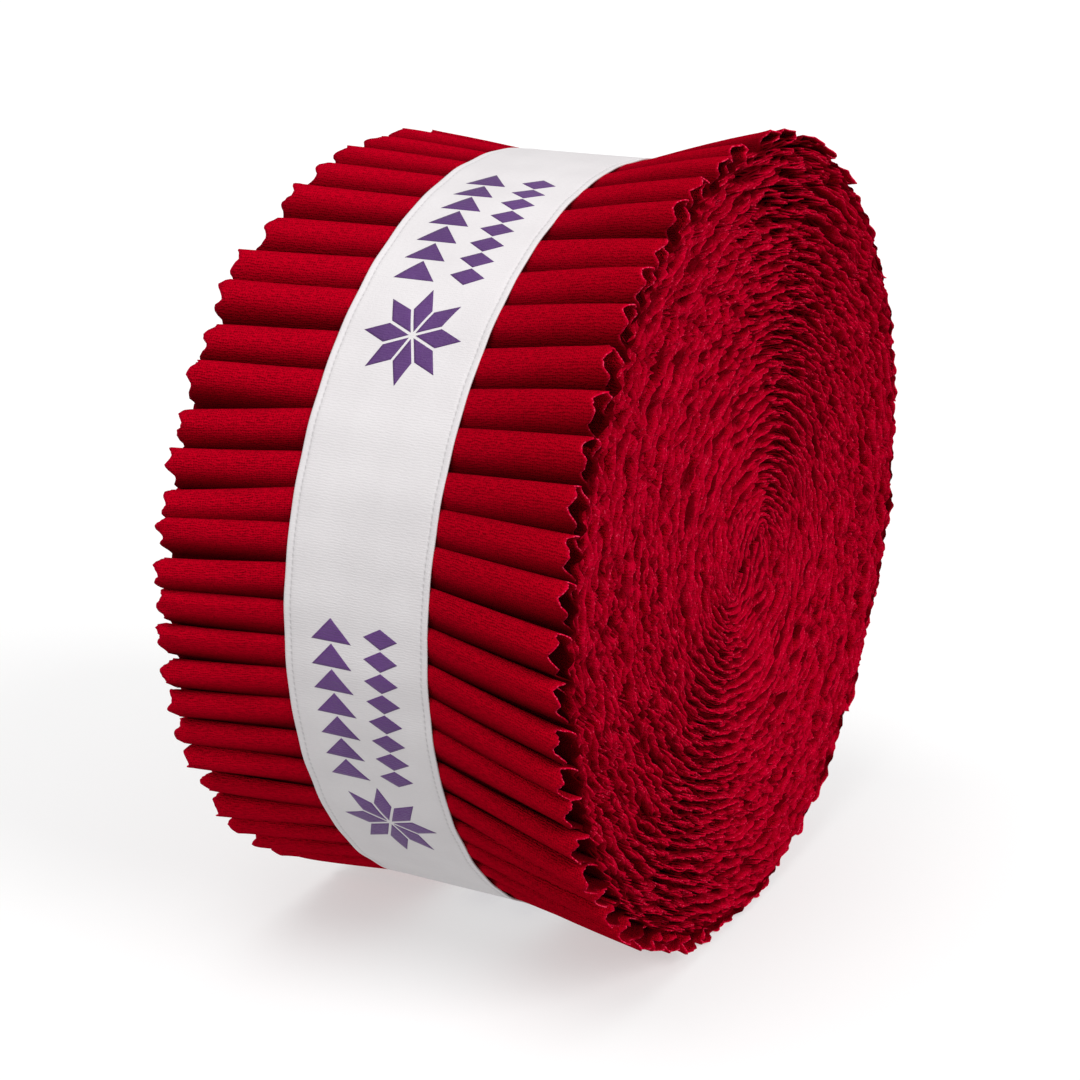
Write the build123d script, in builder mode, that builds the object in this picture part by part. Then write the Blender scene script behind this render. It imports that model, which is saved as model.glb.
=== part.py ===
from build123d import *
import math
import os

# A roll of pre-cut cotton strips for quilting, held by a printed ribbon band. Millimetres.
# The roll's axis is X and it stands on its rim, so Z = 0 is the surface that it rests on.
# Each strip is folded in half and starts at its fold, on the rim. From there it winds
# inwards with all the others, so that the folds show as pleats and the cut ends lie in
# the eye of the roll. All the strips are the same curve, turned a little from one another.

# ---- driving dimensions
strip_count = 56
strip_width = 63.5  # 2 1/2 inches, from point to point of the pinked edges
strip_length = 1067.0  # 42 inches, the full usable width of the cloth
roll_radius = 59.0  # to the fold tips
pleat_height = 2.0  # how far a fold stands above the layer that it grows out of
pleat_room = 0.85  # share of the way to the next fold over which a pleat slopes down
cloth_share = 0.72  # share of the layer pitch that the doubled cloth fills
nose_length = 0.6  # how far the round of a fold reaches past the fold's own direction
first_fold_deg = 3.6  # direction of the first fold from +Y
eye_gap_deg = 6.0  # the cut ends stop this far short of the involute's own start
foot_drop = 2.85  # how far the rim is pressed flat where the roll stands
foot_sharpness = 200  # how tightly the pleats turn into that flat
front_crowding = 0.06  # how much closer the pleats are on the -Y side than on the +Y side
side_crowding = 0.13  # how much closer they are at the sides than at the top and bottom

ribbon_width = 22.0  # 7/8 inch
ribbon_thickness = 0.35
ribbon_clearance = 0.3
seam_deg = 322.0  # direction of the ribbon's first end
seam_overlap_deg = 14.0
seam_ramp_deg = 24.0  # how long the second end takes to climb over the first
glue_thickness = 0.15
glue_inset = 1.5  # from the ribbon's edges and ends to the glue tab's
glue_bite = 0.02  # how far the glue sinks into the ribbon on each side

step_deg = 20.0  # length of the arcs that make up a strip's winding
corner_arc_deg = 5.0  # length of the arcs that turn into the flat foot
shortest_arc_deg = 1.5

# ---- derived dimensions
layer_radius = roll_radius - pleat_height  # outside of the plain layers, under the pleats
layer_pitch = math.pi * layer_radius**2 / (strip_count * strip_length / 2)
eye_radius = strip_count * layer_pitch / (2 * math.pi)
fold_spacing_deg = 360.0 / strip_count
half_cloth_deg = cloth_share * fold_spacing_deg / 2
ribbon_radius = roll_radius + ribbon_clearance  # its inner face
ribbon_outside = ribbon_radius + ribbon_thickness
axis_height = ribbon_outside - foot_drop


def polar(radius, direction_deg):
    """The point (Y, Z) at this radius and direction from the roll's axis."""
    turn = math.radians(direction_deg)
    return radius * math.cos(turn), radius * math.sin(turn) + axis_height


def foot_factor(direction_deg):
    """The share of a radius that is left in this direction, less than 1 over the flat foot."""
    down = -math.sin(math.radians(direction_deg))
    if down <= 0.5:
        return 1.0
    chord = axis_height / ribbon_outside / down
    return (1 + chord**-foot_sharpness) ** (-1 / foot_sharpness)


def crowded(angle_deg):
    """Turns evenly spaced directions into the roll's own, which are closest at -Y."""
    turn = math.radians(angle_deg - 180)
    shift = front_crowding * math.sin(turn) + side_crowding / 2 * math.sin(2 * turn)
    return angle_deg - math.degrees(shift)


def evenly(direction_deg):
    """The evenly spaced direction that crowding turns into this one, the inverse of crowded."""
    angle = direction_deg
    for _ in range(60):
        angle += direction_deg - crowded(angle)
    return angle


def at(radius, angle_deg):
    """A point (Y, Z) of the wound cloth, which is crowded in front and flattened below."""
    direction = crowded(angle_deg)
    return polar(radius * foot_factor(direction), direction)


def sweep_at(radius):
    """How far an involute of the eye has turned when it reaches this radius, in degrees."""
    unwound = math.sqrt((radius / eye_radius) ** 2 - 1)
    return math.degrees(unwound - math.atan(unwound))


def radius_at(sweep_deg):
    """The radius at which an involute of the eye has turned this far, the inverse of sweep_at."""
    sweep = math.radians(sweep_deg)
    unwound = sweep + math.pi / 2
    for _ in range(80):
        unwound = sweep + math.atan(unwound)
    return eye_radius * math.hypot(1, unwound)


def pleat_rise(back_deg):
    """How far a pleat stands above its layer, so many degrees after its fold."""
    part = min(back_deg / (fold_spacing_deg * pleat_room), 1.0)
    return pleat_height * (1 - part) ** 2 * (1 + 2 * part)


def no_rise(back_deg):
    return 0.0


full_sweep_deg = sweep_at(layer_radius)

# Where the arcs of every winding meet: all round in equal steps, but over the foot only at
# the ends of a short arc at each of its corners.
foot_half_deg = math.degrees(math.acos(axis_height / ribbon_outside))
steps = [k * step_deg for k in range(round(360 / step_deg))]
joins = [step for step in steps if abs(step - 270) > foot_half_deg + corner_arc_deg]
for side in (-1, 1):
    for end in (-0.5, 0.5):
        joins.append(270 + side * foot_half_deg + end * corner_arc_deg)
join_angles = sorted(evenly(direction) for direction in joins)


def arc_ends(first_deg, last_deg):
    """Where the arcs of one winding meet: its two ends and the joins between them."""
    low, high = first_deg + shortest_arc_deg, last_deg - shortest_arc_deg
    turns = range(int(high // 360) + 1)
    between = [angle + 360 * turn for turn in turns for angle in join_angles]
    return [first_deg] + [angle for angle in between if low < angle < high] + [last_deg]


def strip_side(fold_deg, turned_deg, rise):
    """Draws one face of a doubled strip, from its fold to its cut ends, and returns its ends.

    The face is the strip's middle line turned by turned_deg, and stands up from it by rise.
    """

    def point(angle):
        back = angle - fold_deg
        return at(radius_at(full_sweep_deg - back + turned_deg) + rise(back), angle)

    next_fold_deg = fold_deg + fold_spacing_deg
    last_deg = fold_deg + full_sweep_deg - eye_gap_deg
    ends = [fold_deg, fold_deg + fold_spacing_deg / 2] + arc_ends(next_fold_deg, last_deg)
    for start, end in zip(ends, ends[1:]):
        ThreePointArc(point(start), point((start + end) / 2), point(end))
    return point(ends[0]), point(ends[-1])


def lap_point(radius, share):
    """A point of the ribbon's climb over its own first end, from the ramp's start to its top."""
    climb = (ribbon_thickness + glue_thickness) * share**2 * (3 - 2 * share)
    return polar(radius + climb, seam_deg - seam_ramp_deg * (1 - share))


def ribbon_face(offset):
    """Draws one face of the ribbon, from its first end over the top to its second end."""
    centre = (0, axis_height)
    radius = ribbon_radius + offset
    height = axis_height - ribbon_thickness + offset
    flat_half_deg = math.degrees(math.acos(height / radius))
    foot_start_deg = 270 - flat_half_deg
    foot_end_deg = 270 + flat_half_deg
    ramp_deg = seam_deg - seam_ramp_deg
    over_top = CenterArc(centre, radius, seam_deg - 360, foot_start_deg - seam_deg + 360)
    Line(polar(radius, foot_start_deg), polar(radius, foot_end_deg))
    CenterArc(centre, radius, foot_end_deg, ramp_deg - foot_end_deg)
    Spline(*[lap_point(radius, share) for share in (0, 0.25, 0.5, 0.75, 1)])
    lap_radius = radius + ribbon_thickness + glue_thickness
    lap = CenterArc(centre, lap_radius, seam_deg, seam_overlap_deg)
    return over_top @ 0, lap @ 1


def write(part, name):
    part.label = name
    export_step(part, f"parts/{name}.step")


os.makedirs("parts", exist_ok=True)

# ---- the strips, each one solid of doubled cloth with its fold puffed into a pleat
for number in range(strip_count):
    fold_deg = first_fold_deg + number * fold_spacing_deg
    nose_deg = fold_deg - math.degrees(nose_length / layer_radius)
    nose_tip = at(layer_radius + pleat_height / 2, nose_deg)
    with BuildPart() as strip:
        with BuildSketch(Plane.YZ.offset(-strip_width / 2)):
            with BuildLine():
                outer_fold, outer_cut = strip_side(fold_deg, half_cloth_deg, pleat_rise)
                inner_fold, inner_cut = strip_side(fold_deg, -half_cloth_deg, no_rise)
                ThreePointArc(inner_fold, nose_tip, outer_fold)
                Line(outer_cut, inner_cut)
            make_face()
        extrude(amount=strip_width)
    write(strip.part, f"strip_{number + 1:02d}")

# ---- the ribbon band, one length of ribbon whose second end laps over its first
with BuildPart() as ribbon_band:
    with BuildSketch(Plane.YZ.offset(-ribbon_width / 2)):
        with BuildLine():
            inner_first_end, inner_second_end = ribbon_face(0.0)
            outer_first_end, outer_second_end = ribbon_face(ribbon_thickness)
            Line(inner_first_end, outer_first_end)
            Line(inner_second_end, outer_second_end)
        make_face()
    extrude(amount=ribbon_width)
write(ribbon_band.part, "ribbon_band")

# ---- the glue tab that joins the ribbon's two ends, a little short of the lap all round
glue_inset_deg = math.degrees(glue_inset / ribbon_outside)
glue_start_deg = seam_deg + glue_inset_deg
glue_size_deg = seam_overlap_deg - 2 * glue_inset_deg
glue_low = ribbon_outside - glue_bite
glue_high = ribbon_outside + glue_thickness + glue_bite
with BuildPart() as glue_tab:
    with BuildSketch(Plane.YZ.offset(glue_inset - ribbon_width / 2)):
        with BuildLine():
            under = CenterArc((0, axis_height), glue_low, glue_start_deg, glue_size_deg)
            over = CenterArc((0, axis_height), glue_high, glue_start_deg, glue_size_deg)
            Line(under @ 0, over @ 0)
            Line(under @ 1, over @ 1)
        make_face()
    extrude(amount=ribbon_width - 2 * glue_inset)
write(glue_tab.part, "glue_tab")

print(f"layer pitch {layer_pitch:.3f}, eye radius {eye_radius:.2f}, axis height {axis_height:.2f}")
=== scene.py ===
import math

import bpy
import numpy as np
from mathutils import Matrix, Vector


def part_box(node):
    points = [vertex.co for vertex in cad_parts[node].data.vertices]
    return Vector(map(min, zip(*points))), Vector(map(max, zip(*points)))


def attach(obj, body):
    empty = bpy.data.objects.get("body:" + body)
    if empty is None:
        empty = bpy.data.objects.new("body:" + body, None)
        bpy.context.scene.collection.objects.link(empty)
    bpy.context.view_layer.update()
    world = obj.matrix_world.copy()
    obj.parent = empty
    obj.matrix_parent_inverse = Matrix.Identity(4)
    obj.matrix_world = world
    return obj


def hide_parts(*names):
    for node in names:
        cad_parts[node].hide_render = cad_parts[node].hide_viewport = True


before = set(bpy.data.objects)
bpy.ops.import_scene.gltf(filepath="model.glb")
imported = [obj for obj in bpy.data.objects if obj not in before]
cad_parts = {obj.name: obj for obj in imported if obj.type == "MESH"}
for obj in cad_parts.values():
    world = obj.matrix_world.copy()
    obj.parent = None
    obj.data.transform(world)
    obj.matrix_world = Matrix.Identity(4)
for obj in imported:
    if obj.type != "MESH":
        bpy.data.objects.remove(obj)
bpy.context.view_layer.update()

# A roll of pre-cut quilting strips. Lengths here are millimetres from the middle of the
# roll's axis, until mesh_from() turns them into metres in the row's frame.
MM = 0.001
TAU = 2 * math.pi

# ---- sizes read from the frame
strip_nodes = sorted(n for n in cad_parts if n.startswith("strip_"))
STRIPS = len(strip_nodes)
strip_low, strip_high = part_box(strip_nodes[0])
ribbon_low, ribbon_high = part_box("ribbon_band")
HALF_WIDTH = (strip_high[0] - strip_low[0]) / 2 / MM
RIBBON_HALF = (ribbon_high[0] - ribbon_low[0]) / 2 / MM
CAD_RIBBON_RADIUS = (ribbon_high[1] - ribbon_low[1]) / 2 / MM
AXIS_HEIGHT = ribbon_high[2] / MM - CAD_RIBBON_RADIUS
CAD_RIBBON_WALL = 0.35
CAD_RIBBON_GAP = 0.30  # between the fold tips and the CAD ribbon's inner face
TIP_RADIUS = CAD_RIBBON_RADIUS - CAD_RIBBON_WALL - CAD_RIBBON_GAP

# ---- the cloth
STRIP_LENGTH = 1067.0
CLOTH = 0.15  # thickness
PLEAT = 3.5  # how far a pleat stands out at the rims
WAIST_PLEAT = 1.1  # and under the ribbon
PLEAT_PROUD = 0.35  # how far the pleats stand beyond the CAD folds' tips
LAYER_RADIUS = TIP_RADIUS - PLEAT + PLEAT_PROUD  # of the outermost layer, which the pleats stand on
DOUBLE_PITCH = math.pi * LAYER_RADIUS**2 / (STRIPS * STRIP_LENGTH / 2)  # of two plies
EYE_RADIUS = STRIPS * DOUBLE_PITCH / TAU
TURN_PITCH = TAU * EYE_RADIUS  # how far a strip comes in with each turn
FOLD_SPACING = TAU / STRIPS
FOLD_ARC = LAYER_RADIUS * FOLD_SPACING
FIRST_FOLD = math.radians(3.6)
FRONT_CROWDING = 0.06  # how much closer the pleats are on the -Y side than on the +Y side
SIDE_CROWDING = 0.13  # how much closer they are at the sides than at the top and bottom
TOOTH = 3.5  # pitch of the pinked edge
TOOTH_DEPTH = 1.0
WORN_TOOTH = 0.2  # share of a tooth's depth left where the layers press on each other
ROW = TOOTH / 4  # between the rows of a strip's mesh
BUNDLES = 10  # of layers, in one turn's pitch
RELIEF = 1.8  # how far the gaps between bundles go in
EDGE_MARGIN = 0.35  # how far the teeth's tips are from the CAD's faces before any bundling
OVERHANG = 0.2  # how far a layer may stand out beyond the CAD's faces
TEETH_REACH = 3.0  # how far in from the edge the cloth follows its teeth along X
CURL_REACH = 1.6  # and how far in it follows a curl
BUNDLE_REACH = 4.5  # and the gathering into bundles

# ---- the waist that the ribbon pulls in
RIBBON_RADIUS = 55.3  # inner face of the ribbon in the waist
RIBBON_SHIFT = -1.3  # along X, of the ribbon's middle
RIBBON_SKEW = 0.9  # how much further it is at the bottom, and less at the top
WAIST_HALF = RIBBON_HALF - 0.6
WAIST_GAP = 0.15  # between the pleats and the ribbon
WAIST_SPACING = 0.45  # share of their spacing that the layers keep under the ribbon
SEAM = math.radians(322)  # where the ribbon's second end begins to lap over its first

# ---- the slit that the innermost cloth closes to
SLIT_ANGLE = math.radians(38)
SLIT_HALF = 6.2
WHORL = (-1.5, 0.0)  # where the slit's middle is on the +X face
WHORL_LEAN = (-2.4, 3.0)  # how far it moves from there to the other face
WHORL_REACH = 12.0  # radius within which the layers move with it
SQUEEZE_REACH = 30.0  # and within which they are squeezed


# ---------------------------------------------------------------- winding
# The layers lie on involutes of the eye: tables of how far one has turned at each radius
UNWOUND = np.linspace(0, 1, 6000) ** 2 * 24
SWEEPS = UNWOUND - np.arctan(UNWOUND)
RADII = EYE_RADIUS * np.hypot(1, UNWOUND)
FULL_SWEEP = float(np.interp(LAYER_RADIUS, RADII, SWEEPS))


def radius_at(sweep):
    return np.interp(sweep, SWEEPS, RADII)


def crowded(angle):
    """Turns an even angle into a direction from the axis, closer in front and at the sides."""
    turn = angle - math.pi
    return angle - FRONT_CROWDING * np.sin(turn) - SIDE_CROWDING / 2 * np.sin(2 * turn)


def smooth(low, high, value):
    """0 up to low, 1 from high, and an even curve between."""
    part = np.clip((value - low) / (high - low), 0, 1)
    return part * part * (3 - 2 * part)


def ribbon_middle(direction):
    """The ribbon sits a little nearer the far rim, most of all underneath."""
    return RIBBON_SHIFT + RIBBON_SKEW * np.sin(direction)


def flare(x, direction):
    """0 under the ribbon, 1 at the rims: the folds run nearly straight from one to the other."""
    middle = ribbon_middle(direction)
    reach = HALF_WIDTH - WAIST_HALF - np.sign(x) * middle
    part = np.clip((np.abs(x - middle) - WAIST_HALF) / reach, 0, 1)
    return part * (1.12 - 0.12 * part * part)


def rim_offset(direction, side):
    """How far the rim flares beyond the round (side 1 is +X): the roll is a little lopsided."""
    if side > 0:
        # highest near the top, lowest near the bottom
        return 0.2 + 1.9 * np.cos(direction - math.radians(110))
    # lowest near the top and the bottom
    return -1.3 - 0.9 * np.cos(2 * (direction - math.radians(100)))


def rim_lean(direction, side):
    """How far round the folds lean on their way from the ribbon out to the rim, in radians."""
    if side > 0:
        # most at the top and a third of a turn to each side of it
        return np.radians(2.6 + 2.8 * np.cos(3 * (direction - math.radians(88))))
    # a few folds just behind the top lean further the other way
    from_few = (direction - math.radians(70) + math.pi) % TAU - math.pi
    swing = 1.9 * np.cos(2 * (direction - math.radians(140)))
    return np.radians(swing + 0.9 - 2.5 * np.exp(-(from_few / math.radians(16)) ** 2))


LOWEST_PLEAT = 0.20  # share of a pleat's height
RISING_PLEATS = (math.radians(62), math.radians(122))  # from the back, where they get their height


def pleat_share(direction, side):
    """The pleats are lower towards the back of the +X rim, where they lean on each other."""
    if side < 0:
        return 1.0 + 0 * direction
    from_back = np.abs((direction + math.pi) % TAU - math.pi)
    return LOWEST_PLEAT + (1 - LOWEST_PLEAT) * smooth(*RISING_PLEATS, from_back)


class Bundles:
    """Gathers the layers into bundles with gaps between, which open and close along the cloth.

    Everything is made of whole numbers of waves round the roll and across one turn's pitch, so
    it joins up with itself all round.
    """

    def __init__(self, seed):
        rng = np.random.default_rng(seed)
        self.wander = self.waves(rng, 8, (5, 30), (-3, 4))
        self.wiggle = self.waves(rng, 14, (22, 56), (-8, 9))
        self.lobes = self.waves(rng, 16, (40, 72), (-9, 10))
        self.opening = self.waves(rng, 10, (9, 46), (-7, 8))
        self.relief = self.waves(rng, 6, (2, 9), (1, 4))

    @staticmethod
    def waves(rng, count, around, across):
        """Waves as (how many go round, how many go across a turn's pitch, phase)."""
        signs = rng.choice((-1, 1), count)
        return list(zip(rng.integers(*around, count) * signs, rng.integers(*across, count),
                        rng.uniform(0, TAU, count)))

    @staticmethod
    def total(waves, direction, turn):
        """The waves' sum, scaled so that its mean square is 1."""
        height = sum(np.sin(m * direction + k * turn + phase) for m, k, phase in waves)
        return height * math.sqrt(2 / len(waves))

    def shifts(self, radius, direction):
        """How far the layers move outwards, how far the edge moves along X, and how much painted
        shade it gets: most in the gaps, least on the crests.
        """
        turn = TAU * (radius + EYE_RADIUS * direction) / TURN_PITCH
        # drifting with the radius, the waves don't repeat from one turn to the next
        drifted = turn + 1.7 * np.sin(radius / 5.3) + radius / 9
        # the layers stir least round the slit, more towards the rim, and most beside the pleats
        calm = 0.2 + 0.8 * smooth(3, 11, radius)
        outer = smooth(16, 44, radius)
        rough = smooth(40, 52, radius)
        wiggle = outer * self.total(self.wiggle, direction, drifted)
        # one bundle to each turn of the phase, with more of them near the slit
        phase = BUNDLES * turn - 25 * np.exp(-radius / 12) + 4.0 * outer * outer + 1.5 * wiggle \
            + 1.2 * calm * self.total(self.wander, direction, drifted)
        gap = np.clip(0.65 + 0.55 * self.total(self.opening, direction, drifted), 0, 1.3)
        gap = gap * (0.35 + 0.65 * outer)
        # a rounded saw wave, which draws the layers in towards the middle of their bundle
        saw = np.arctan2(0.75 * np.sin(phase), 1 - 0.75 * np.cos(phase))
        outwards = TURN_PITCH / BUNDLES / TAU * gap * saw + 0.22 * wiggle
        ridge = 0.5 - 0.5 * np.cos(phase)
        lobes = 0.18 * outer * self.total(self.lobes, direction, drifted)
        along = RELIEF * (1 + 0.35 * rough) * (ridge ** 1.6 - 0.7) * (0.4 + 0.6 * gap) + lobes \
            + 0.3 * self.total(self.relief, direction, turn)
        # painted shade: deepest in the gaps between bundles, lifted on the crests, where the cut
        # edge's painted highlight shows
        crest = smooth(0.60, 0.98, ridge + 0.35 * lobes)
        painted_shade_share = 1 - np.clip(0.08 + (0.27 - 0.12 * rough) * ridge + 0.65 * crest, 0, 1)
        return calm * outwards, calm * along, painted_shade_share


FLOOR_GAP = 0.15
FLOOR_SOFTNESS = 0.45  # how gradually the cloth flattens


def floor_limit(radius, direction):
    """Presses the cloth flat where it would reach below the floor, keeping its order."""
    down = np.maximum(-np.sin(direction), 0.3)
    limit = (AXIS_HEIGHT - FLOOR_GAP) / down
    over = (radius - limit) / FLOOR_SOFTNESS
    return radius - FLOOR_SOFTNESS * np.logaddexp(0, np.clip(over, -40, 40))


def whorled(radius, direction, x=0):
    """Squeezes the round eye into a slit, and gives (Y, Z). The slit leans on its way through
    the roll, so that no light comes through it."""
    z = radius * np.exp(1j * direction)
    squeeze = (SLIT_HALF / 2) ** 2 * np.exp(2j * SLIT_ANGLE)
    fade = np.exp(-(radius / WHORL_REACH) ** 2)
    lean = complex(*WHORL_LEAN) * (1 - x / HALF_WIDTH) / 2
    w = z + squeeze / z * np.exp(-(radius / SQUEEZE_REACH) ** 2) + (complex(*WHORL) + lean) * fade
    return w.real, w.imag


bundles = {1: Bundles(71), -1: Bundles(72)}


class Waves:
    """A smooth random function of one variable, a sum of sines with seeded phases."""

    def __init__(self, rng, shortest, longest, count):
        lengths = np.exp(rng.uniform(math.log(shortest), math.log(longest), count))
        self.rates = TAU / lengths
        self.phases = rng.uniform(0, TAU, count)
        self.scale = math.sqrt(2 / count)

    def __call__(self, s):
        s = np.asarray(s, float)
        return self.scale * np.sin(s[..., None] * self.rates + self.phases).sum(-1)


# ---------------------------------------------------------------- meshes
def mesh_from(name, points, quads, triangles=(), uv=None, marks=None, materials=()):
    """A mesh object from arrays: points in millimetres about the roll's axis. marks says for
    each point whether it is on a cut or pricked line, and how much painted shade it gets in the folds
    and between bundles."""
    points = np.asarray(points, float) * MM + (0, 0, AXIS_HEIGHT * MM)
    quads = np.asarray(quads, np.int32).reshape(-1, 4)
    triangles = np.asarray(triangles, np.int32).reshape(-1, 3)
    mesh = bpy.data.meshes.new(name)
    mesh.vertices.add(len(points))
    mesh.vertices.foreach_set("co", points.astype(np.float32).ravel())
    corners = np.concatenate([quads.ravel(), triangles.ravel()])
    sizes = np.concatenate([np.full(len(quads), 4), np.full(len(triangles), 3)])
    mesh.loops.add(len(corners))
    mesh.loops.foreach_set("vertex_index", corners)
    mesh.polygons.add(len(sizes))
    loop_starts = np.concatenate([[0], np.cumsum(sizes)[:-1]])
    mesh.polygons.foreach_set("loop_start", loop_starts.astype(np.int32))
    if uv is not None:
        layer = mesh.uv_layers.new(name="cloth")
        layer.data.foreach_set("uv", np.asarray(uv, np.float32)[corners].ravel())
    if marks is not None:
        for attribute, values in zip(("cut", "painted_shade"), np.asarray(marks, np.float32).T):
            layer = mesh.attributes.new(attribute, "FLOAT", "POINT")
            layer.data.foreach_set("value", np.ascontiguousarray(values))
    mesh.update(calc_edges=True)
    mesh.validate()
    mesh.shade_smooth()
    for material in materials:
        mesh.materials.append(material)
    thing = bpy.data.objects.new(name, mesh)
    bpy.context.scene.collection.objects.link(thing)
    return thing


def grid_quads(index):
    """The faces of a grid, from the numbers of its points."""
    corners = [index[:-1, :-1], index[1:, :-1], index[1:, 1:], index[:-1, 1:]]
    return np.stack(corners, -1).reshape(-1, 4)


def grid_normals(points):
    """The normal at each point of a grid."""
    along = np.gradient(points, axis=0)
    across = np.gradient(points, axis=1)
    normal = np.cross(along, across)
    return normal / np.maximum(np.linalg.norm(normal, axis=-1, keepdims=True), 1e-9)


# Columns of a strip's mesh, as distances in from its cut edges: close together at the edge and
# where the waist begins
EDGE_COLUMNS = (0.0, 0.8, 3.5)
WAIST_COLUMN = HALF_WIDTH - WAIST_HALF
PLEAT_COLUMNS = (0.0, 0.5, 1.1, 2.1, 3.5, 6.5, 10.0, 13.5, 16.0, 18.0, 19.5, 21.0, 22.5, 24.5, 28.0)
WAISTED_FOLDS = 7  # a strip has the waist's column of points for this many folds beyond its own


def columns_of(distances, middle=False):
    """Columns from -X to +X as (side, distance in from that side's edge)."""
    left = [(-1, d) for d in distances]
    right = [(1, d) for d in distances[::-1]]
    return left + ([(0, HALF_WIDTH)] if middle else []) + right


def pleat_profile(peak, nose, nose_share):
    """The outer and the inner ply of a pleat, as rows of (share of the way to the next fold,
    share of the pleat's height). The outer ply bulges up from the nose and tucks under the next
    pleat, and the inner one drops from the nose to the layer below."""
    turn = np.linspace(0, math.pi / 2, 11)
    bulge = np.stack([peak - (peak + nose) * np.cos(turn),
                      nose_share + (1 - nose_share) * np.sin(turn)], 1)
    b = np.linspace(peak, 1.0, 15)[1:]
    tuck = np.stack([b, 1 - ((b - peak) / (1.03 - peak)) ** 1.9], 1)
    low = 0.30
    under = np.stack([low - (low + nose) * np.cos(turn[1:]), nose_share * (1 - np.sin(turn[1:]))], 1)
    b = np.linspace(low, 1.0, 13)[1:]
    flat = np.stack([b, 0 * b], 1)
    return np.concatenate([bulge, tuck]), np.concatenate([under, flat])


def lengths_along(profile, height):
    """Cloth length from the profile's start to each of its rows."""
    arc = np.stack([profile[:, 0] * FOLD_ARC, profile[:, 1] * height], 1)
    return np.concatenate([[0], np.cumsum(np.hypot(*np.diff(arc, axis=0).T))])


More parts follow.
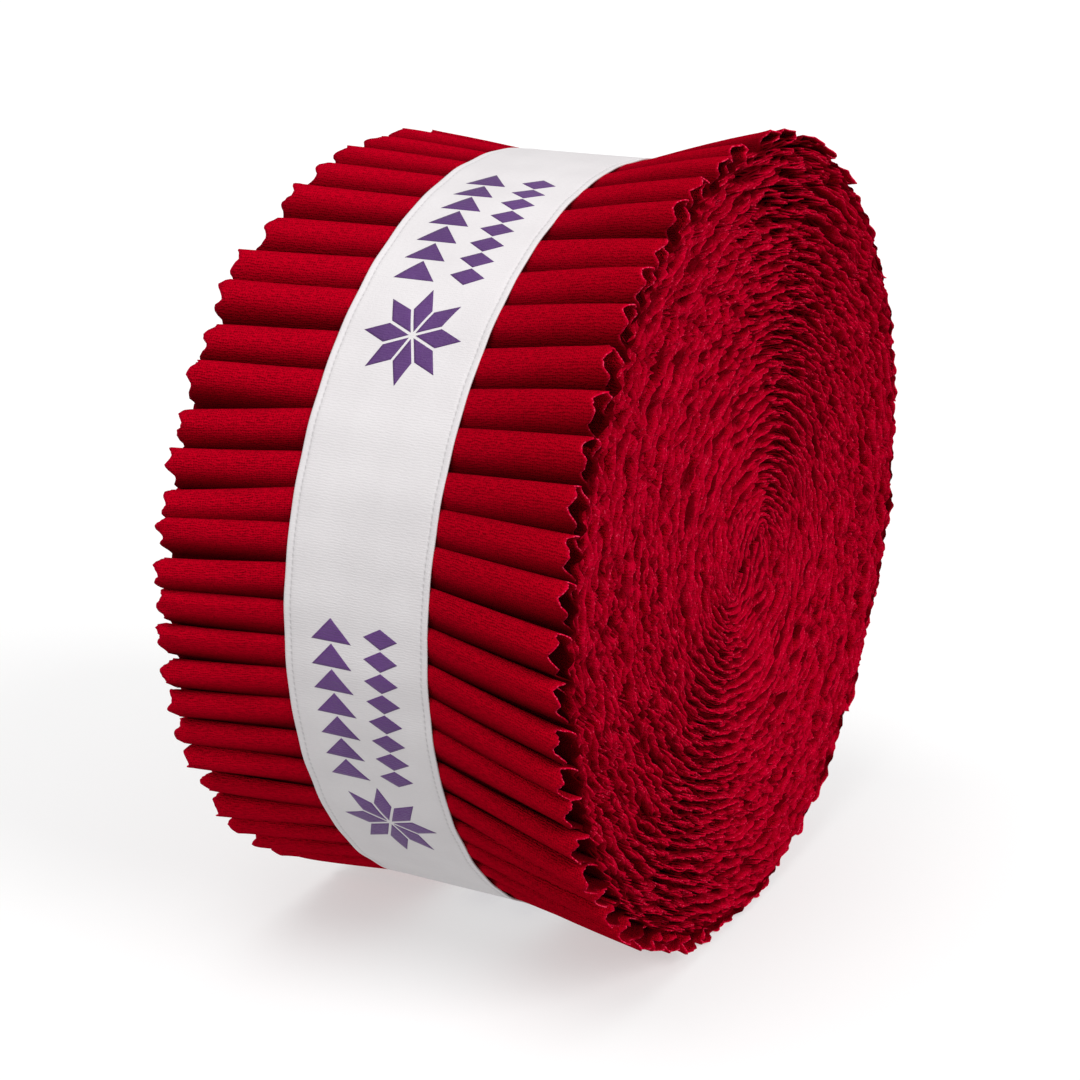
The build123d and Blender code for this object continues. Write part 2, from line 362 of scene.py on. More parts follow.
class Strip:
    """One strip folded in half: its own random shape, and where each point of its cloth lies."""

    def __init__(self, number):
        rng = self.rng = np.random.default_rng(1000 + number)
        self.fold = FIRST_FOLD + (number + rng.normal(0, 0.05)) * FOLD_SPACING
        self.height = PLEAT * (1 + rng.normal(0, 0.10))
        self.lean = dict(zip((-1, 1), rng.normal(0, 0.07, 2) * FOLD_SPACING))
        self.tooth_phase = dict(zip((-1, 1), rng.uniform(0, TOOTH, 2)))
        keys = [(ply, side) for ply in (1, -1) for side in (-1, 1)]
        self.drift = {key: Waves(rng, 14, 120, 6) for key in keys}
        self.curl = {key: Waves(rng, 3.2, 11, 6) for key in keys}
        self.sway = {key: Waves(rng, 14, 60, 4) for key in keys}
        self.outer, self.inner = pleat_profile(0.20 + rng.normal(0, 0.04), 0.10,
                                               0.50 + rng.normal(0, 0.04))

    def winding_rows(self, ply):
        """Evenly spaced rows from the pleat in to the cut end: shares of the fold spacing, and
        lengths along the cloth."""
        last = FULL_SWEEP - self.rng.uniform(0.02, 0.12)
        beta = np.linspace(FOLD_SPACING, last, 5000)
        radius = radius_at(FULL_SWEEP - beta + ply * FOLD_SPACING / 4)
        y, z = whorled(radius, crowded(self.fold + beta))
        length = np.concatenate([[0], np.cumsum(np.hypot(np.diff(y), np.diff(z)))])
        place = np.arange(1, int(length[-1] / ROW) + 1) * ROW
        return np.interp(place, length, beta) / FOLD_SPACING, place

    def edge(self, side, s):
        """How far out the pinked edge's teeth reach at these lengths along the cloth."""
        where = (s + self.tooth_phase[side]) / TOOTH
        tooth = 0.5 - 0.5 * np.cos(TAU * where)
        fray = self.rng.normal(0, 0.08, s.shape)
        return TOOTH_DEPTH * (0.5 - tooth) + fray

    def points(self, b, h, ply, s, columns, in_pleat):
        """Points at these rows (shares b of the fold spacing, shares h of the pleat's height,
        lengths s along the cloth) and columns, and how much painted shade each of them gets in a
        crease or between bundles."""
        beta = b[:, None] * FOLD_SPACING
        shape = (len(b), len(columns))
        side = np.broadcast_to([c[0] for c in columns], shape)
        inward = np.broadcast_to([c[1] for c in columns], shape)
        half_step = ply * FOLD_SPACING / 4 * (np.clip(b, 0, 1)[:, None] if in_pleat else 1)
        layer = radius_at(FULL_SWEEP - np.maximum(beta, 0) + half_step) + 0 * inward
        direction = crowded(self.fold + beta) + 0 * inward
        depth = LAYER_RADIUS - layer

        # each side in turn: along X, the pinked edge and the bundles' own ins and outs; outwards,
        # the gathering into bundles, the curl of a loose edge and the rim's flare
        plain = HALF_WIDTH - EDGE_MARGIN - TOOTH_DEPTH / 2
        x = side * (plain - inward)
        outwards = np.zeros(shape)
        share = np.ones(shape)
        painted_shade_share = np.ones(shape)
        if in_pleat:
            # painted shade where the outer ply tucks under the next pleat and the inner ply drops
            # from the nose
            painted_tuck_shade = smooth(0.25, 0.92, b) if ply > 0 else smooth(0.0, 0.3, b)
            painted_shade_share = np.broadcast_to(painted_tuck_shade[:, None], shape)
        part = flare(x, direction)
        for one in (-1, 1):
            mine = side == one
            worn = 1 - (1 - WORN_TOOTH) * smooth(0.0, 3.5, depth)
            worn = worn * (0.25 + 0.75 * pleat_share(direction, one))
            edge = self.edge(one, s)[:, None] * worn
            edge = edge + 0.30 * smooth(2, 12, layer) * self.drift[ply, one](s)[:, None]
            # the third is the painted shade between the bundles, which the side faces get below
            spread, along, gap = bundles[one].shifts(layer, direction)
            bundled = smooth(0.0, 2.5, depth)
            edge = np.minimum(edge + bundled * along, HALF_WIDTH + OVERHANG - plain)
            curl = self.curl[ply, one](s) + 0.7 * self.sway[ply, one](s)
            loose = 0.12 if in_pleat else 0.04 + 0.06 * smooth(30, 52, layer)
            moved = loose * curl[:, None] * np.exp(-inward / CURL_REACH)
            moved = moved + bundled * spread * np.exp(-(inward / BUNDLE_REACH) ** 2)
            low = (1 - pleat_share(direction, one)) * self.height
            flared = (rim_offset(direction, one) + low) * (layer / LAYER_RADIUS) ** 2
            leaning = rim_lean(direction, one) * np.exp(-depth / 6) + self.lean[one] * in_pleat
            x = np.where(mine, x + one * edge * np.exp(-inward / TEETH_REACH), x)
            share = np.where(mine, pleat_share(direction, one), share)
            if not in_pleat:
                painted_shade_share = np.where(mine, gap, painted_shade_share)
            outwards = np.where(mine, moved + flared * part, outwards)
            direction = np.where(mine, direction + leaning * part, direction)

        # the ribbon presses the outer layers together, down to where they had that radius anyway
        waist = RIBBON_RADIUS - WAIST_GAP - WAIST_PLEAT - WAIST_SPACING * depth
        base = layer + (np.minimum(waist, layer) - layer) * (1 - part)
        pleat = WAIST_PLEAT + (self.height * share - WAIST_PLEAT) * part
        radius = floor_limit(base + h[:, None] * pleat + outwards, direction)
        y, z = whorled(radius, direction, x)
        return np.stack([x, y, z], -1), painted_shade_share

    def blocks(self):
        """The strip from one cut end over its fold to the other, as blocks of rows with the same
        columns: (points, how much painted shade they get, lengths along the cloth, columns)."""
        pleat_columns = columns_of(PLEAT_COLUMNS, middle=True)
        middle_columns = columns_of(EDGE_COLUMNS + (WAIST_COLUMN,))
        deep_columns = columns_of(EDGE_COLUMNS)
        split = int(WAISTED_FOLDS * FOLD_ARC / ROW)
        halves = []
        for ply, profile in ((-1, self.inner), (1, self.outer)):
            b, s = self.winding_rows(ply)
            whole = profile if ply == 1 else np.concatenate([self.outer[:1], profile])
            pleat_s = lengths_along(whole, self.height)[len(whole) - len(profile):]
            s = s + pleat_s[-1]
            flat = np.zeros(len(b))
            rows = [(profile[:, 0], profile[:, 1], pleat_s, pleat_columns, True),
                    (b[:split], flat[:split], s[:split], middle_columns, False),
                    (b[split:], flat[split:], s[split:], deep_columns, False)]
            half = [(*self.points(rb, rh, ply, rs, columns, in_pleat), ply * rs, columns)
                    for rb, rh, rs, columns, in_pleat in rows]
            halves.append(half)
        from_inner_end = [(p[::-1], painted_shade_share[::-1], s[::-1], columns)
                          for p, painted_shade_share, s, columns in halves[0][::-1]]
        return from_inner_end + halves[1]


PLEAT_CUT = 1  # how much the cut edge's lighter colour, partly its fibres and partly a painted highlight, shows on the pleats
BODY_CUT = 0.85  # and on the side faces


def build_strip(number, material):
    blocks = Strip(number).blocks()
    places = [block[0] for block in blocks]
    starts = np.cumsum([0] + [p[..., 0].size for p in places])
    indices = [first + np.arange(p[..., 0].size).reshape(p.shape[:2])
               for first, p in zip(starts, places)]
    # the pleat's two plies are one run of rows, so that its fold is smooth
    fold_rows = len(places[2])
    fold_normals = grid_normals(np.concatenate(places[2:4]))
    normals = [grid_normals(p) for p in places]
    normals[2], normals[3] = fold_normals[:fold_rows], fold_normals[fold_rows:]
    quads = [grid_quads(index) for index in indices]
    triangles = []
    for block, following, index, next_index in zip(blocks, blocks[1:], indices, indices[1:]):
        more_quads, more_triangles = bridge(index[-1], block[-1], next_index[0], following[-1])
        quads.append(more_quads)
        triangles.append(more_triangles)
    middle = np.concatenate([p.reshape(-1, 3) for p in places])
    normal = np.concatenate([n.reshape(-1, 3) for n in normals])
    uv = np.concatenate([np.stack(np.broadcast_arrays(s[:, None], p[..., 0]), -1).reshape(-1, 2)
                         for p, _, s, _ in blocks]) * MM
    marks = []
    # each point's marks: its cut edge, whose lighter colour is partly a painted highlight, and its
    # painted shade
    for _, painted_shade_share, _, columns in blocks:
        edge_and_highlight_weight = PLEAT_CUT if len(columns) > 2 * len(PLEAT_COLUMNS) else BODY_CUT
        cut = [edge_and_highlight_weight * (inward == 0) for _, inward in columns]
        marks.append(np.stack(np.broadcast_arrays(cut, painted_shade_share), -1).reshape(-1, 2))
    marks = np.concatenate(marks)
    rim = [np.concatenate([index[:, 0] for index in indices]),
           np.concatenate([index[:, -1] for index in indices])[::-1],
           indices[0][0][::-1], indices[-1][-1]]
    return thickened(f"cotton_{number + 1:02d}", middle, normal, CLOTH, np.concatenate(quads),
                     np.concatenate(triangles), rim, uv, marks, material)


def thickened(name, middle, normal, thickness, quads, triangles, rim, uv, marks, material):
    """A closed sheet about a middle surface. rim holds the lines of points along its edges."""
    count = len(middle)
    points = np.concatenate([middle + normal * thickness / 2, middle - normal * thickness / 2])
    walls = [np.stack([line[:-1], line[:-1] + count, line[1:] + count, line[1:]], -1) for line in rim]
    all_quads = np.concatenate([quads, quads[:, ::-1] + count] + walls)
    all_triangles = np.concatenate([triangles, triangles[:, ::-1] + count])
    return mesh_from(name, points, all_quads, all_triangles, np.concatenate([uv, uv]),
                     np.concatenate([marks, marks]), [material])


def bridge(last, last_columns, head, head_columns):
    """Faces between two rows. Where their columns differ, each of the shorter row's columns is
    joined to the nearest of the longer row's."""
    if len(last) == len(head):
        return np.stack([last[:-1], head[:-1], head[1:], last[1:]], -1), np.zeros((0, 3), int)
    coarse_first = len(last) < len(head)
    coarse, fine = (last, head) if coarse_first else (head, last)
    coarse_columns, fine_columns = ((last_columns, head_columns) if coarse_first
                                    else (head_columns, last_columns))
    place = [min(range(len(fine_columns)),
                 key=lambda k: abs(fine_columns[k][0] - c[0]) * 99 + abs(fine_columns[k][1] - c[1]))
             for c in coarse_columns]
    quads, triangles = [], []
    for k in range(len(coarse) - 1):
        a, b = place[k], place[k + 1]
        middle = (a + b) // 2
        if b == a + 1:
            quads.append([coarse[k], fine[a], fine[b], coarse[k + 1]])
            continue
        for f in range(a, middle):
            triangles.append([coarse[k], fine[f], fine[f + 1]])
        triangles.append([coarse[k], fine[middle], coarse[k + 1]])
        for f in range(middle, b):
            triangles.append([coarse[k + 1], fine[f], fine[f + 1]])
    quads = np.array(quads, int).reshape(-1, 4)
    triangles = np.array(triangles, int).reshape(-1, 3)
    if not coarse_first:
        quads, triangles = quads[:, ::-1], triangles[:, ::-1]
    return quads, triangles


# ---------------------------------------------------------------- materials
class Finish:
    """A Principled material, with short ways to add nodes to it."""

    def __init__(self, name, **settings):
        self.material = bpy.data.materials.new(name)
        self.material.use_nodes = True
        self.nodes = self.material.node_tree.nodes
        self.links = self.material.node_tree.links
        self.shader = next(n for n in self.nodes if n.type == "BSDF_PRINCIPLED")
        for socket, value in settings.items():
            self.shader.inputs[socket.replace("_", " ")].default_value = value

    def put(self, value, socket):
        """Sets a socket to a constant, or links another node's output to it."""
        if isinstance(value, (int, float, tuple)):
            socket.default_value = value
        else:
            self.links.new(value, socket)

    def mark(self, name):
        """One of the values that mesh_from() keeps for each point."""
        node = self.nodes.new("ShaderNodeAttribute")
        node.attribute_name = name
        return node.outputs["Fac"]

    def math(self, operation, *values):
        node = self.nodes.new("ShaderNodeMath")
        node.operation = operation
        for value, socket in zip(values, node.inputs):
            self.put(value, socket)
        return node.outputs[0]

    def cloth_uv(self):
        node = self.nodes.new("ShaderNodeUVMap")
        node.uv_map = "cloth"
        return node.outputs["UV"]

    def noise(self, size_along, size_across, detail=2.0, rough=0.5):
        """Noise on the cloth whose blotches are this long and wide, in millimetres."""
        mapping = self.nodes.new("ShaderNodeMapping")
        mapping.inputs["Scale"].default_value = (1 / (size_along * MM), 1 / (size_across * MM), 1)
        self.links.new(self.cloth_uv(), mapping.inputs["Vector"])
        node = self.nodes.new("ShaderNodeTexNoise")
        node.noise_dimensions = "2D"
        node.inputs["Scale"].default_value = 1.0
        node.inputs["Detail"].default_value = detail
        node.inputs["Roughness"].default_value = rough
        self.links.new(mapping.outputs[0], node.inputs["Vector"])
        return node.outputs["Fac"]

    def ramp(self, value, *stops):
        """A colour that changes with a value, through these (place, colour) stops."""
        node = self.nodes.new("ShaderNodeValToRGB")
        elements = node.color_ramp.elements
        while len(elements) < len(stops):
            elements.new(0.5)
        for element, (place, colour) in zip(elements, stops):
            element.position = place
            element.color = (*colour, 1)
        self.links.new(value, node.inputs[0])
        return node.outputs[0]

    def mix(self, share, first, second):
        node = self.nodes.new("ShaderNodeMix")
        node.data_type = "RGBA"
        self.put(share, node.inputs[0])
        self.put(first, node.inputs[6])
        self.put(second, node.inputs[7])
        return node.outputs[2]

    def weave(self, weft_pitch, warp_pitch, uneven, strength, distance):
        """Ribs across the cloth's length crossed by finer yarns, as bump. Returns its height."""
        split = self.nodes.new("ShaderNodeSeparateXYZ")
        self.links.new(self.cloth_uv(), split.inputs[0])
        wobble = self.math("MULTIPLY", self.noise(0.9, 1.1), uneven)
        weft = self.math("SINE", self.math("ADD", wobble, self.math(
            "MULTIPLY", split.outputs[0], TAU / (weft_pitch * MM))))
        warp = self.math("SINE", self.math("MULTIPLY", split.outputs[1], TAU / (warp_pitch * MM)))
        crossed = self.math("MULTIPLY", weft, self.math("ADD", 0.7, self.math("MULTIPLY", warp, 0.4)))
        slubs = self.math("MULTIPLY", self.noise(0.32, 0.62, 2.0, 0.6), 4.2)
        uncut = self.math("SUBTRACT", 1.0, self.mark("cut"))
        height = self.math("MULTIPLY", self.math("ADD", crossed, slubs), uncut)
        bump = self.nodes.new("ShaderNodeBump")
        bump.inputs["Strength"].default_value = strength
        bump.inputs["Distance"].default_value = distance * MM
        self.links.new(height, bump.inputs["Height"])
        self.links.new(bump.outputs[0], self.shader.inputs["Normal"])
        return height


# the dye's two tones; painted shade between the ribs and in the creases; the cut edge's lighter
# colour, partly its fibres and partly a painted highlight; and its frays
DYED_DARK = (0.46, 0.0, 0.0100)
DYED_LIGHT = (0.56, 0.0, 0.0140)
PAINTED_SHADE_BETWEEN_RIBS = (0.13, 0.0, 0.0020, 1)
PAINTED_CREASE_SHADE = (0.06, 0.0, 0.0010, 1)
CUT_EDGE_AND_PAINTED_HIGHLIGHT = (0.66, 0.001, 0.031, 1)
FRAYED = (0.88, 0.05, 0.13, 1)


def cotton_finish():
    """Red cotton: ribbed, with painted shade between the ribs, in its creases and between its
    bundles, and lighter in uneven spots along its cut edges, partly its lighter fibres and partly a
    painted highlight where the edge is out of the painted shade.
    """
    finish = Finish("red_cotton", Specular_IOR_Level=0.0, Sheen_Weight=0.10, Sheen_Roughness=0.4,
                    Sheen_Tint=(1.0, 0.01, 0.07, 1))
    height = finish.weave(weft_pitch=0.42, warp_pitch=0.36, uneven=9.0, strength=1.0, distance=0.09)
    dyed = finish.ramp(finish.noise(9, 16, 3.0), (0.3, DYED_DARK), (0.7, DYED_LIGHT))
    # painted shade between the weave's ribs
    painted_groove_shade = finish.math("MULTIPLY", finish.math("SUBTRACT", 2.5, height), 0.25)
    ribbed = finish.mix(finish.math("MAXIMUM", painted_groove_shade, 0.0), dyed, PAINTED_SHADE_BETWEEN_RIBS)
    # painted shade in the creases under the pleats and in the gaps between bundles
    painted_shade = finish.mark("painted_shade")
    shaded = finish.mix(finish.math("MULTIPLY", painted_shade, 0.92), ribbed, PAINTED_CREASE_SHADE)
    # the cut edge is lighter only out of the painted shade: partly its lighter fibres, partly a
    # painted highlight on the crests and folds
    unshaded_cut_edge = finish.math("MULTIPLY", finish.math("POWER", finish.mark("cut"), 1.6),
                            finish.math("SUBTRACT", 1.0, painted_shade))
    uneven = finish.math("SUBTRACT", finish.math("MULTIPLY", finish.noise(0.8, 0.8), 2.6), 0.45)
    edged = finish.mix(finish.math("MULTIPLY", unshaded_cut_edge, uneven), shaded, CUT_EDGE_AND_PAINTED_HIGHLIGHT)
    frays = finish.math("GREATER_THAN", finish.math(
        "MULTIPLY", finish.noise(0.32, 0.32, 2.0, 0.6), finish.mark("cut")), 0.545)
    frayed = finish.math("MULTIPLY", unshaded_cut_edge, finish.math("MULTIPLY", frays, 0.8))
    finish.put(finish.mix(frayed, edged, FRAYED), finish.shader.inputs["Base Color"])
    rough = finish.math("ADD", 0.70, finish.math("MULTIPLY", finish.noise(2.0, 5.0), 0.25))
    finish.put(rough, finish.shader.inputs["Roughness"])
    return finish.material


def satin_finish(name, light, dark, strength):
    """White satin ribbon, or the ink printed on it, with the same ribs showing through, and painted
    shade between the ribs and in the stitch holes.
    """
    finish = Finish(name, Specular_IOR_Level=0.4, Sheen_Weight=0.08, Sheen_Roughness=0.3)
    height = finish.weave(weft_pitch=0.36, warp_pitch=0.28, uneven=7.0, strength=strength,
                          distance=0.05)
    tone = finish.ramp(finish.noise(14, 9, 3.0), (0.3, dark), (0.7, light))
    # painted shade between the ribs and in the stitch holes, in a darker copy of the colour
    painted_groove_shade = finish.math("MAXIMUM", finish.math("MULTIPLY", finish.math(
        "SUBTRACT", 2.8, height), 0.03), 0.0)
    shade = tuple(0.62 * channel for channel in dark) + (1,)
    ribbed = finish.mix(painted_groove_shade, tone, shade)
    pricked = finish.math("MULTIPLY", finish.mark("cut"), 0.8)
    finish.put(finish.mix(pricked, ribbed, shade), finish.shader.inputs["Base Color"])
    rough = finish.math("ADD", 0.38, finish.math("MULTIPLY", finish.noise(1.5, 4.0), 0.22))
    finish.put(rough, finish.shader.inputs["Roughness"])
    return finish.material


def glue_finish():
    """Hot-melt glue, slightly yellow and fairly glossy."""
    finish = Finish("clear_glue", IOR=1.5)
    tone = finish.ramp(finish.noise(3, 3), (0.3, (0.62, 0.57, 0.47)), (0.7, (0.72, 0.69, 0.60)))
    finish.put(tone, finish.shader.inputs["Base Color"])
    rough = finish.math("ADD", 0.15, finish.math("MULTIPLY", finish.noise(1, 1), 0.2))
    finish.put(rough, finish.shader.inputs["Roughness"])
    return finish.material


def floor_finish():
    """A floor that is nearly as white as the background, but still takes a shadow."""
    return Finish("pale_floor", Base_Color=(0.50, 0.50, 0.50, 1), Roughness=0.9,
                  Emission_Color=(1, 1, 1, 1), Emission_Strength=0.49).material


# ---------------------------------------------------------------- the roll
cotton = cotton_finish()
for number, node in enumerate(strip_nodes):
    piece = build_strip(number, cotton)
    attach(piece, "roll")
    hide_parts(node)

# ---------------------------------------------------------------- the ribbon
RIBBON_CLOTH = 0.22  # thickness
GLUE = 0.15  # thickness
LAP = math.radians(14)
RAMP = math.radians(24)  # over which the second end climbs
RIBBON_ROW = 0.3  # between the rows of the ribbon's mesh
STITCH_PITCH = 0.9  # of the stitches along each edge
STITCH_INSET = 0.95
STITCH_DEPTH = 0.16
INK = 0.03  # how far it stands up, and how far it goes in
PRINT_REPEAT = math.radians(75)
PRINT_REPEATS = 5
PRINT_STAR = math.radians(288)  # direction of the first star
STAR_RADIUS = 7.6
ROWS_AFTER_STAR = math.radians(9)


def on_ribbon(angle, across, lift):
    """A point this far above the ribbon's inner face. angle runs from its first end round to
    its second, which climbs over the first."""
    climb = (RIBBON_CLOTH + GLUE) * smooth(SEAM + TAU - RAMP, SEAM + TAU, angle + TAU)
    waves = 0.05 * np.sin(angle * 43 + 0.4) + 0.04 * np.sin(angle * 29 + 1.3 + across / 9)
    radius = floor_limit(RIBBON_RADIUS + climb + waves + lift, angle)
    return np.stack([across + ribbon_middle(angle), radius * np.cos(angle),
                     radius * np.sin(angle)], -1)


def build_ribbon(material):
    """The ribbon, with a bead and a line of stitches along each edge."""
    first, last = SEAM - TAU, SEAM + LAP
    rows = int((last - first) * RIBBON_RADIUS / RIBBON_ROW)
    # columns, close together over the bead and the stitches
    fine = RIBBON_HALF - np.array([0, 0.15, 0.4, 0.7, 0.82, STITCH_INSET, 1.08, 1.2, 1.6])
    coarse = np.linspace(0, fine[-1], 8)[1:-1]
    half = np.concatenate([coarse, fine[::-1]])
    across = np.concatenate([-half[::-1], [0], half])
    angle, across = np.meshgrid(np.linspace(first, last, rows), across, indexing="ij")
    inward = RIBBON_HALF - np.abs(across)
    bead = 0.05 * np.exp(-((inward - 0.3) / 0.25) ** 2)
    stitch = 0.5 + 0.5 * np.cos(angle * RIBBON_RADIUS * TAU / STITCH_PITCH)
    pricked = -STITCH_DEPTH * stitch * np.exp(-((inward - STITCH_INSET) / 0.13) ** 2)
    thickness = RIBBON_CLOTH + bead + pricked
    middle = on_ribbon(angle, across, thickness / 2)
    normal = grid_normals(middle)
    index = np.arange(middle[..., 0].size).reshape(middle.shape[:2])
    rim = [index[:, 0], index[::-1, -1], index[0, ::-1], index[-1, :]]
    uv = np.stack([angle * RIBBON_RADIUS, across], -1).reshape(-1, 2) * MM
    # the stitch holes' mark, which the satin turns into painted shade
    marks = np.stack([(-pricked / STITCH_DEPTH).ravel(), 0 * pricked.ravel()], -1)
    return thickened("satin_ribbon", middle.reshape(-1, 3), normal.reshape(-1, 3),
                     thickness.reshape(-1, 1), grid_quads(index), np.zeros((0, 3), int), rim, uv,
                     marks, material)


def star(along, radius):
    """An eight-point patchwork star about a place along the ribbon, as its eight diamonds."""
    side = radius / (2 * math.cos(math.pi / 8))
    shapes = []
    for point in range(8):
        turn = point * math.pi / 4
        corners = [0, side * np.exp(1j * (turn - math.pi / 8)), 2 * side * math.cos(math.pi / 8)
                   * np.exp(1j * turn), side * np.exp(1j * (turn + math.pi / 8))]
        centre = sum(corners) / 4
        shapes.append([(along + z.real, z.imag) for z in
                       (centre * 1.04 + (corner - centre) * 0.90 for corner in corners)])
    return shapes


def geese(along, across, count, pitch, width, depth):
    """A row of patchwork triangles along the ribbon."""
    return [[(along - k * pitch, across - width / 2), (along - k * pitch - depth, across),
             (along - k * pitch, across + width / 2)] for k in range(count)]


def diamonds(along, across, count, pitch, width, depth):
    """A row of patchwork diamonds along the ribbon."""
    return [[(along - k * pitch, across), (along - k * pitch - depth / 2, across - width / 2),
             (along - k * pitch - depth, across), (along - k * pitch - depth / 2, across + width / 2)]
            for k in range(count)]


def patch(corners, steps):
    """A convex shape as quads about its middle: flat points and faces."""
    corners = np.array(corners)
    following = np.roll(corners, -1, axis=0)
    mids = (corners + following) / 2
    centre = corners.mean(0)
    points, quads, seen = [], [], {}
    u, v = np.meshgrid(np.linspace(0, 1, steps), np.linspace(0, 1, steps), indexing="ij")
    for k, corner in enumerate(corners):
        a, b = mids[k - 1], mids[k]
        grid = ((1 - u) * (1 - v))[..., None] * centre + (u * (1 - v))[..., None] * a \
            + (u * v)[..., None] * corner + ((1 - u) * v)[..., None] * b
        index = np.zeros((steps, steps), int)
        for i in range(steps):
            for j in range(steps):
                key = tuple(np.round(grid[i, j], 5))
                if key not in seen:
                    seen[key] = len(points)
                    points.append(grid[i, j])
                index[i, j] = seen[key]
        quads.append(grid_quads(index))
    quads = np.concatenate(quads)
    p = np.array(points)
    a, b, c = p[quads[0, 0]], p[quads[0, 1]], p[quads[0, 2]]
    ab, ac = b - a, c - a
    return p, quads if ab[0] * ac[1] > ab[1] * ac[0] else quads[:, ::-1]


def build_print(material):
    """The ribbon's print, a raised film of ink: patchwork stars, each followed by two rows."""
    tops, faces, uvs = [], [], []
    count = 0
    for k in range(PRINT_REPEATS):
        star_at = (PRINT_STAR - k * PRINT_REPEAT) * RIBBON_RADIUS
        row_at = star_at - ROWS_AFTER_STAR * RIBBON_RADIUS
        shapes = star(star_at, STAR_RADIUS)
        shapes += geese(row_at, -3.7, count=7, pitch=3.6, width=6.2, depth=3.3)
        shapes += diamonds(row_at, 3.9, count=8, pitch=3.1, width=5.2, depth=2.9)
        for shape in shapes:
            if min(a for a, _ in shape) < (SEAM - TAU) * RIBBON_RADIUS + 1:
                continue
            flat, quads = patch(shape, 5)
            angle, across = flat[:, 0] / RIBBON_RADIUS, flat[:, 1]
            top = on_ribbon(angle, across, RIBBON_CLOTH + INK)
            low = on_ribbon(angle, across, RIBBON_CLOTH - INK)
            edges = {}
            for quad in quads:
                for i, j in zip(quad, np.roll(quad, -1)):
                    edges[(i, j)] = (j, i) not in edges
                    if (j, i) in edges:
                        edges[(j, i)] = False
            border = np.array([edge for edge, outside in edges.items() if outside])
            n = len(flat)
            walls = np.stack([border[:, 1], border[:, 0], border[:, 0] + n, border[:, 1] + n], -1)
            tops.append(np.concatenate([top, low]))
            faces.append(np.concatenate([quads, quads[:, ::-1] + n, walls]) + count)
            uvs.append(np.concatenate([flat, flat]) * MM)
            count += 2 * n
    return mesh_from("ribbon_print", np.concatenate(tops), np.concatenate(faces),
                     uv=np.concatenate(uvs), materials=[material])


def build_glue(material):
    """The film of glue in the lap. It stops short of the lap's ends and the ribbon's edges."""
    angle = np.linspace(SEAM + math.radians(1.5), SEAM + LAP - math.radians(1.5), 24)
    across = np.linspace(1.5 - RIBBON_HALF, RIBBON_HALF - 1.5, 16)
    angle, across = np.meshgrid(angle - TAU, across, indexing="ij")
    middle = on_ribbon(angle, across, RIBBON_CLOTH + GLUE / 2)
    index = np.arange(middle[..., 0].size).reshape(middle.shape[:2])
    rim = [index[:, 0], index[::-1, -1], index[0, ::-1], index[-1, :]]
    uv = np.stack([angle * RIBBON_RADIUS, across], -1).reshape(-1, 2) * MM
    return thickened("glue_film", middle.reshape(-1, 3), grid_normals(middle).reshape(-1, 3), GLUE,
                     grid_quads(index), np.zeros((0, 3), int), rim, uv,
                     np.zeros((middle[..., 0].size, 2)), material)


# the lighter and the darker of each material's colours
WHITE = ((0.735, 0.705, 0.715), (0.695, 0.665, 0.675))
PURPLE = ((0.105, 0.030, 0.180), (0.080, 0.022, 0.140))
ribbon = build_ribbon(satin_finish("white_satin", *WHITE, strength=0.2))
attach(ribbon, "band")
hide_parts("ribbon_band")

ink = build_print(satin_finish("purple_ink", *PURPLE, strength=0.5))
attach(ink, "band")

glue = build_glue(glue_finish())
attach(glue, "band")
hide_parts("glue_tab")

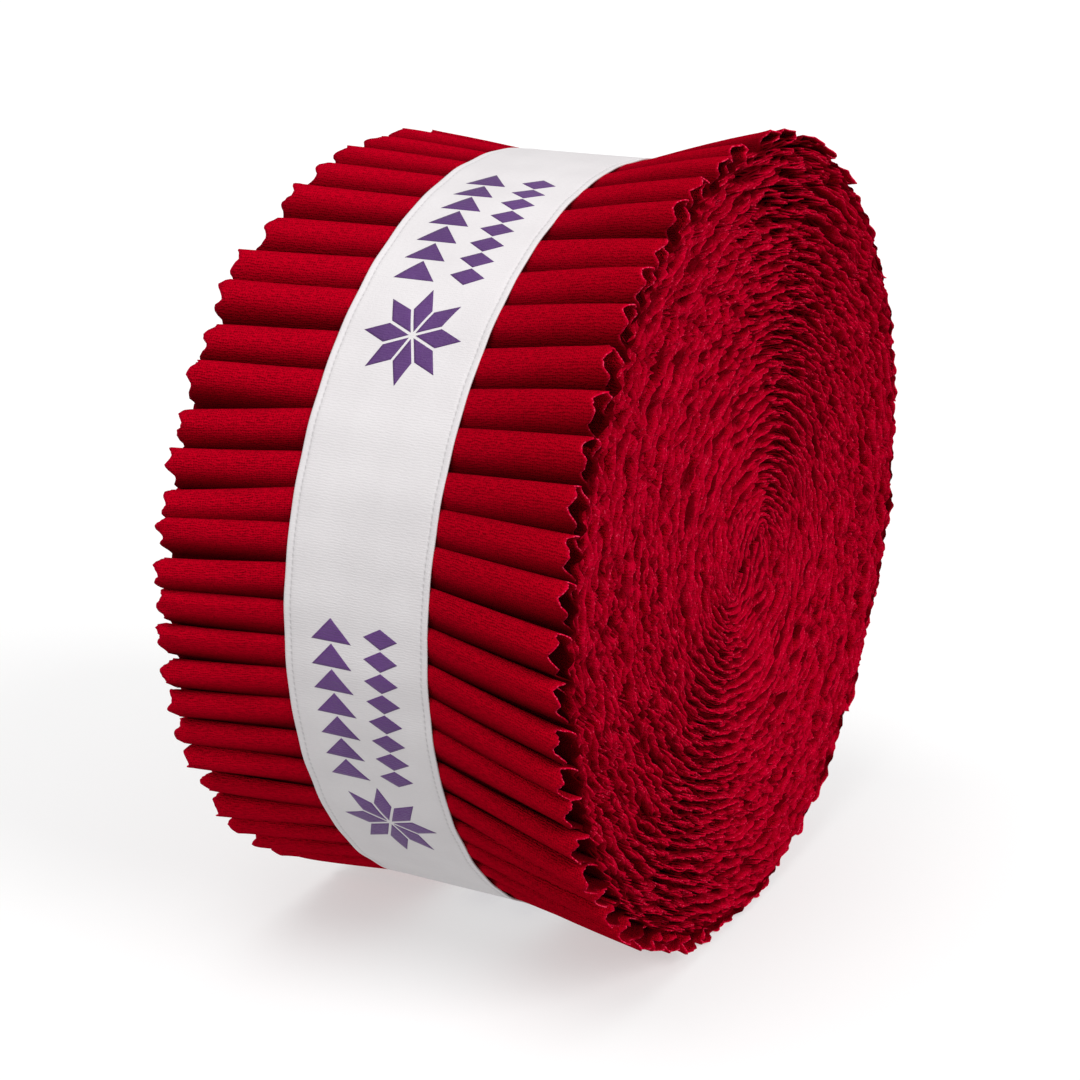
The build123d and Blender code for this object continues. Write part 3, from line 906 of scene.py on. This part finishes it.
# ---------------------------------------------------------------- floor, light and camera
FLOOR_HALF = 6.0  # metres
floor_mesh = bpy.data.meshes.new("floor")
floor_mesh.from_pydata([(x * FLOOR_HALF, y * FLOOR_HALF, 0) for x, y in
                        ((-1, -1), (1, -1), (1, 1), (-1, 1))], [], [(0, 1, 2, 3)])
floor = bpy.data.objects.new("floor", floor_mesh)
bpy.context.scene.collection.objects.link(floor)
floor_mesh.materials.append(floor_finish())
floor.visible_diffuse = False  # it casts no glow of its own on the roll

world = bpy.data.worlds.new("studio")
bpy.context.scene.world = world
world.use_nodes = True
background = world.node_tree.nodes["Background"]
background.inputs["Color"].default_value = (1, 1, 1, 1)
background.inputs["Strength"].default_value = 0.52


def soft_sun(name, towards, strength, spread_deg):
    """A sun that shines this way, with a wide disc for soft shadows."""
    data = bpy.data.lights.new(name, "SUN")
    data.energy = strength
    data.angle = math.radians(spread_deg)
    lamp = bpy.data.objects.new(name, data)
    bpy.context.scene.collection.objects.link(lamp)
    lamp.rotation_euler = Vector(towards).to_track_quat("-Z", "Y").to_euler()


soft_sun("key", (0.10, 0.34, -0.94), strength=1.15, spread_deg=36)
soft_sun("fill", (0.25, 0.96, -0.03), strength=0.75, spread_deg=50)
soft_sun("side", (-0.82, 0.12, -0.56), strength=1.7, spread_deg=36)

# the camera that fits the outline in the photo
CAMERA_PLACE = (153.5, -293.0, 102.1)  # from the middle of the roll
CAMERA_ANGLES = (28.219, 17.48, 0.359)  # round from -Y, down to the roll, and its tilt
CAMERA_LENS = 76.79
middle = Vector((0, 0, AXIS_HEIGHT)) * MM
camera_data = bpy.data.cameras.new("camera")
camera = bpy.data.objects.new("camera", camera_data)
bpy.context.scene.collection.objects.link(camera)
camera_data.sensor_width = 36
camera_data.lens = CAMERA_LENS
camera_data.clip_start = 0.01
yaw, pitch, roll = (math.radians(angle) for angle in CAMERA_ANGLES)
back = Vector((math.sin(yaw) * math.cos(pitch), -math.cos(yaw) * math.cos(pitch), math.sin(pitch)))
level = Vector((math.cos(yaw), math.sin(yaw), 0))
rise = back.cross(level)
right = level * math.cos(roll) + rise * math.sin(roll)
up = rise * math.cos(roll) - level * math.sin(roll)
facing = Matrix((right, up, back)).transposed().to_4x4()
camera.matrix_world = Matrix.Translation(Vector(CAMERA_PLACE) * MM + middle) @ facing
bpy.context.scene.camera = camera
bpy.context.scene.view_settings.view_transform = "Standard"
